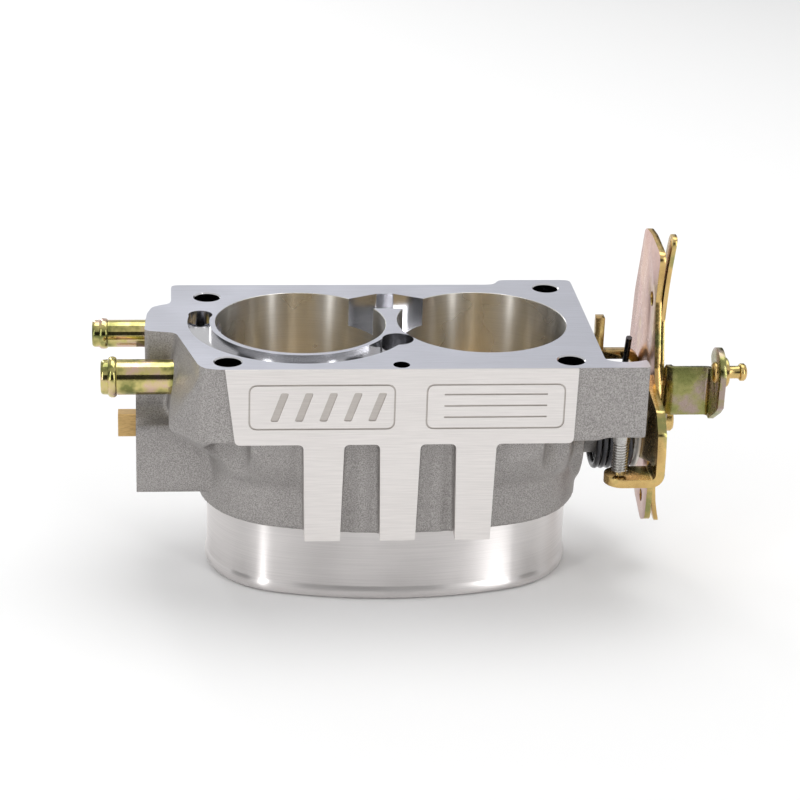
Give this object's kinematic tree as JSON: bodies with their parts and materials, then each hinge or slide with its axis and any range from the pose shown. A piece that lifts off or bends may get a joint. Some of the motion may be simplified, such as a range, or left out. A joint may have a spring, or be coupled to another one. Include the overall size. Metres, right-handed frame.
{
  "type": "throttle body",
  "caption": "Twin-bore throttle body: cast housing with oval duct collar, butterfly plates on one shaft, hose barbs, return spring and a cable linkage with an idle stop.",
  "frame": {"origin": "centre of the collar's lower face, midway between the two bores", "axes": "+Z along the bores from the duct collar to the manifold flange, +X along the shaft from the sensor end to the linkage, +Y from the machined front to the rear"},
  "size_m": [0.2197, 0.0864, 0.12],
  "materials": {
    "cast_aluminium": "sand-cast with machined faces",
    "chromate_steel": "yellow chromate",
    "bearing_steel": "ground",
    "seal_rubber": "matte",
    "screw_steel": "bright",
    "shaft_brass": "milled",
    "plate_brass": "satin",
    "spring_steel": "blackened",
    "nylon": "natural"
  },
  "bodies": {
    "housing": {"housing": "cast_aluminium", "small_hose_barb": "chromate_steel", "large_hose_barb": "chromate_steel", "left_shaft_bearing": "bearing_steel", "right_shaft_bearing": "bearing_steel", "left_shaft_seal": "seal_rubber", "right_shaft_seal": "seal_rubber"},
    "idle_screw": {"idle_stop_screw": "screw_steel"},
    "throttle": {"throttle_shaft": "shaft_brass", "left_throttle_plate": "plate_brass", "right_throttle_plate": "plate_brass", "left_plate_screws": "screw_steel", "right_plate_screws": "screw_steel", "shaft_retaining_ring": "spring_steel", "spring_bushing": "nylon", "return_spring": "spring_steel", "stop_lever": "chromate_steel", "cable_quadrant": "chromate_steel", "cable_guide": "chromate_steel", "cruise_arm": "chromate_steel", "cruise_stud": "chromate_steel", "lever_washer": "screw_steel", "lever_screw": "chromate_steel"}
  },
  "joints": [
    {"name": "throttle_turn", "type": "hinge", "parent": "housing", "child": "throttle", "pos_m": [0, 0, 0.0506], "axis": [1, 0, 0], "range_deg": [0, 82], "stiffness_Nm_per_rad": 0.25, "springref_deg": -45.84, "deforming": ["return_spring"]},
    {"name": "idle_screw_travel", "type": "slide", "parent": "housing", "child": "idle_screw", "axis": [0, 0, 1], "range_m": [0, 0.002]}
  ]
}
